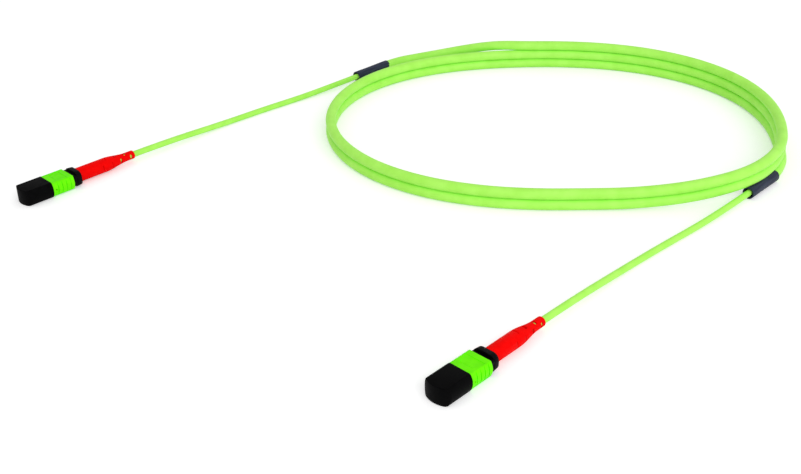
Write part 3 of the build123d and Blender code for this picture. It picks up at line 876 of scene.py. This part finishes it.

# %% [markdown]
# The sleeve over each joint is a slate-coloured tube of shrunk polyolefin. Shrinking pulls the skin into
# long shallow creases along the tube, and it shines a little on their crests. The creases could be sculpted,
# but they are so shallow that a stretched noise with a bump shows them as well. The same noise also paints
# the colour: painted shade in the hollows of the creases and a painted sheen on their crests, beside the
# real shine that a lower roughness gives there.

# %% Shrunk tube
slate, tree, shader = start_material("slate_shrunk_polyolefin")
finish_of["heat_shrink_slate"] = slate
place = add_node(tree, "ShaderNodeTexCoord")
along = add_node(tree, "ShaderNodeMapping", [(place.outputs["Object"], "Vector")],
                 Scale=(per_metre(9), per_metre(1.1), per_metre(1.1)))
creases = add_node(tree, "ShaderNodeTexNoise", [(along.outputs["Vector"], "Vector")], Scale=1, Detail=3)
# painted shade and painted sheen: the colour is darker in the hollows of the creases and lighter on their
# crests
tone = add_node(tree, "ShaderNodeValToRGB", [(creases.outputs["Fac"], "Fac")])
tone.color_ramp.elements[0].position = 0.35
tone.color_ramp.elements[0].color = linear("#272D40")
tone.color_ramp.elements[1].position = 0.7
tone.color_ramp.elements[1].color = linear("#363D50")
skin = add_node(tree, "ShaderNodeBump", [(creases.outputs["Fac"], "Height")],
                Strength=0.4, Distance=0.06 * mm)
shine = add_node(tree, "ShaderNodeMapRange", [(creases.outputs["Fac"], "Value")], To_Min=0.6, To_Max=0.4)
tree.links.new(tone.outputs["Color"], shader.inputs["Base Color"])
tree.links.new(shine.outputs["Result"], shader.inputs["Roughness"])
tree.links.new(skin.outputs["Normal"], shader.inputs["Normal"])
shader.inputs["IOR"].default_value = 1.5
shader.inputs["Specular IOR Level"].default_value = 0.12
print(slate.name, "with creases of 1.1 by 9 mm")

# %% [markdown]
# The ferrule is moulded to a thousandth of a millimetre in a dark grey compound full of tiny glass
# beads, and its front is polished. The beads show as pale specks. A Voronoi pattern has a cell for each
# bead, where a noise would give only clouds.

# %% Ferrule compound
ferrule_grey, tree, shader = start_material("grey_glass_bead_compound")
finish_of["ferrule_grey"] = ferrule_grey
place = add_node(tree, "ShaderNodeTexCoord")
# beads are about 0.02 mm, drawn 0.1 mm apart so that they show
beads = add_node(tree, "ShaderNodeTexVoronoi", [(place.outputs["Object"], "Vector")], Scale=per_metre(0.1))
tone = add_node(tree, "ShaderNodeValToRGB", [(beads.outputs["Distance"], "Fac")])
tone.color_ramp.elements[0].position = 0.12
tone.color_ramp.elements[0].color = linear("#5E6064")
tone.color_ramp.elements[1].position = 0.3
tone.color_ramp.elements[1].color = linear("#2B2C30")
polish = add_node(tree, "ShaderNodeMapRange", [(beads.outputs["Distance"], "Value")],
                  To_Min=0.2, To_Max=0.42)
tree.links.new(tone.outputs["Color"], shader.inputs["Base Color"])
tree.links.new(polish.outputs["Result"], shader.inputs["Roughness"])
shader.inputs["IOR"].default_value = 1.6
print(ferrule_grey.name, "with beads 0.1 mm apart")

# %% [markdown]
# A fibre's end is polished silica, clear and smooth. It could be a glass shader, but so small an end is only
# a bright dot, so that glint is a painted highlight: a smooth surface painted pale against the grey
# compound.

# %% Polished fibre ends
glass, tree, shader = start_material("polished_silica")
place = add_node(tree, "ShaderNodeTexCoord")
# the painted highlight is a little uneven, over about half a fibre's width
gleam = add_node(tree, "ShaderNodeTexNoise", [(place.outputs["Object"], "Vector")],
                 Scale=per_metre(0.06), Detail=1)
tone = add_node(tree, "ShaderNodeValToRGB", [(gleam.outputs["Fac"], "Fac")])
tone.color_ramp.elements[0].color = linear("#B4C6D0")
tone.color_ramp.elements[1].color = linear("#F2F8FA")
tree.links.new(tone.outputs["Color"], shader.inputs["Base Color"])
shader.inputs["Roughness"].default_value = 0.05
shader.inputs["IOR"].default_value = 1.46
print(glass.name, "for", 2 * fibre_count, "fibre ends")

# %% [markdown]
# Inside the plug are five more materials, which show when a part is taken off. The spacer behind the
# ferrule is a natural nylon, milky with a slight yellow cast. Light goes a little way into it, which
# subsurface scattering could show, but on so small a piece a soft change of tone is enough.

# %% Nylon spacer
nylon, tree, shader = start_material("natural_moulded_nylon")
finish_of["spacer_plastic"] = nylon
place = add_node(tree, "ShaderNodeTexCoord")
milky = add_node(tree, "ShaderNodeTexNoise", [(place.outputs["Object"], "Vector")],
                 Scale=per_metre(1.2), Detail=2)
tone = add_node(tree, "ShaderNodeValToRGB", [(milky.outputs["Fac"], "Fac")])
tone.color_ramp.elements[0].color = linear("#BDB9AA")
tone.color_ramp.elements[1].color = linear("#CFCCC0")
tree.links.new(tone.outputs["Color"], shader.inputs["Base Color"])
shader.inputs["Roughness"].default_value = 0.45
shader.inputs["IOR"].default_value = 1.53
print(nylon.name, "with clouds of 1.2 mm")

# %% [markdown]
# The soft block in the ferrule's window is a silicone rubber, matt and black, and dust clings to it. The
# dust could be scattered grains, but a noise that stays dark up to its middle leaves just a few grey specks.

# %% Rubber block
rubber, tree, shader = start_material("black_moulded_silicone_rubber")
finish_of["ferrule_boot_rubber"] = rubber
place = add_node(tree, "ShaderNodeTexCoord")
# dust is a few hundredths of a millimetre wide, drawn at 0.3 mm so that it shows
dust = add_node(tree, "ShaderNodeTexNoise", [(place.outputs["Object"], "Vector")],
                Scale=per_metre(0.3), Detail=4)
tone = add_node(tree, "ShaderNodeValToRGB", [(dust.outputs["Fac"], "Fac")])
tone.color_ramp.elements[0].position = 0.5
tone.color_ramp.elements[0].color = linear("#19191A")
tone.color_ramp.elements[1].position = 0.75
tone.color_ramp.elements[1].color = linear("#3A3A3A")
skin = add_node(tree, "ShaderNodeBump", [(dust.outputs["Fac"], "Height")], Strength=0.3, Distance=0.02 * mm)
tree.links.new(tone.outputs["Color"], shader.inputs["Base Color"])
tree.links.new(skin.outputs["Normal"], shader.inputs["Normal"])
shader.inputs["Roughness"].default_value = 0.8
shader.inputs["IOR"].default_value = 1.43
print(rubber.name, "with specks of 0.3 mm")

# %% [markdown]
# The springs are drawn steel wire, with fine marks from the die. Marks that run along the wire would need
# a map that follows its coils, and on wire this thin a fine noise in tone and shine looks the same.

# %% Spring wire
wire, tree, shader = start_material("drawn_spring_steel")
finish_of["spring_steel"] = wire
place = add_node(tree, "ShaderNodeTexCoord")
# die marks are a few hundredths of a millimetre wide, drawn at 0.15 mm so that they show
marks = add_node(tree, "ShaderNodeTexNoise", [(place.outputs["Object"], "Vector")],
                 Scale=per_metre(0.15), Detail=3)
tone = add_node(tree, "ShaderNodeValToRGB", [(marks.outputs["Fac"], "Fac")])
tone.color_ramp.elements[0].color = linear("#A9AAAD")
tone.color_ramp.elements[1].color = linear("#C9CACC")
drawn = add_node(tree, "ShaderNodeMapRange", [(marks.outputs["Fac"], "Value")], To_Min=0.22, To_Max=0.42)
tree.links.new(tone.outputs["Color"], shader.inputs["Base Color"])
tree.links.new(drawn.outputs["Result"], shader.inputs["Roughness"])
shader.inputs["Metallic"].default_value = 1
print(wire.name, "with marks of 0.15 mm")

# %% [markdown]
# The crimp ring is nickel-plated brass: a warm grey metal, brighter where the tool pressed it. Each dent
# could be modelled, but the ring is under the boot, so a slow noise in its shine is enough.

# %% Crimp ring
nickel, tree, shader = start_material("nickel_plated_brass")
finish_of["crimp_nickel"] = nickel
place = add_node(tree, "ShaderNodeTexCoord")
pressed = add_node(tree, "ShaderNodeTexNoise", [(place.outputs["Object"], "Vector")],
                   Scale=per_metre(0.8), Detail=3)
tone = add_node(tree, "ShaderNodeValToRGB", [(pressed.outputs["Fac"], "Fac")])
tone.color_ramp.elements[0].color = linear("#BDB6A4")
tone.color_ramp.elements[1].color = linear("#D6D1C4")
plated = add_node(tree, "ShaderNodeMapRange", [(pressed.outputs["Fac"], "Value")], To_Min=0.18, To_Max=0.38)
tree.links.new(tone.outputs["Color"], shader.inputs["Base Color"])
tree.links.new(plated.outputs["Result"], shader.inputs["Roughness"])
shader.inputs["Metallic"].default_value = 1
print(nickel.name, "with pressed patches of 0.8 mm")

# %% [markdown]
# The ribbon is twelve coated fibres side by side in a thin aqua film, so it is ridged along its length.
# Bands across it, one for each fibre, give both the ridges and the slightly darker lines between them, which
# are painted shade in the grooves.
# Twelve thin tubes would do that too, with many more faces.

# %% Fibre ribbon
ribbon, tree, shader = start_material("aqua_coated_fibre_ribbon")
finish_of["ribbon_aqua"] = ribbon
ribbon_width = 2.7
place = add_node(tree, "ShaderNodeTexCoord")
# one band of a wave at scale 1 is pi / 10 wide
ridges = add_node(tree, "ShaderNodeTexWave", [(place.outputs["Object"], "Vector")], bands_direction="Y",
                  Scale=per_metre(ribbon_width / fibre_count) * pi / 10)
# painted shade: the colour is darker in the grooves between the fibres and lighter on the ridges
tone = add_node(tree, "ShaderNodeValToRGB", [(ridges.outputs["Fac"], "Fac")])
tone.color_ramp.elements[0].color = linear("#4FA3AD")
tone.color_ramp.elements[1].color = linear("#8AD0D6")
skin = add_node(tree, "ShaderNodeBump", [(ridges.outputs["Fac"], "Height")],
                Strength=0.5, Distance=0.05 * mm)
tree.links.new(tone.outputs["Color"], shader.inputs["Base Color"])
tree.links.new(skin.outputs["Normal"], shader.inputs["Normal"])
shader.inputs["Roughness"].default_value = 0.3
shader.inputs["IOR"].default_value = 1.5
print(ribbon.name, "with", fibre_count, "ridges")

# %% [markdown]
# Every piece and every solid now gets its finish. Each could be painted where it is made, but the list of
# pieces by finish makes that one loop. The fibre ends come last, because their finish is in no list.

# %% Paint the pieces
for row in frame["record"]["subparts"]:
    pieces_of.setdefault(row["material_slot"], []).append(nodes[row["node"]])
for slot, pieces in pieces_of.items():
    for piece in pieces:
        piece.data.materials.clear()
        piece.data.materials.append(finish_of[slot])
for end in tips:
    fibre_ends[end].data.materials.append(glass)
print(sum(len(pieces) for pieces in pieces_of.values()), "pieces painted in", len(finish_of), "finishes")

# %% [markdown]
# Last, the view layer is brought up to date.

# %% Bring the view layer up to date
bpy.context.view_layer.update()
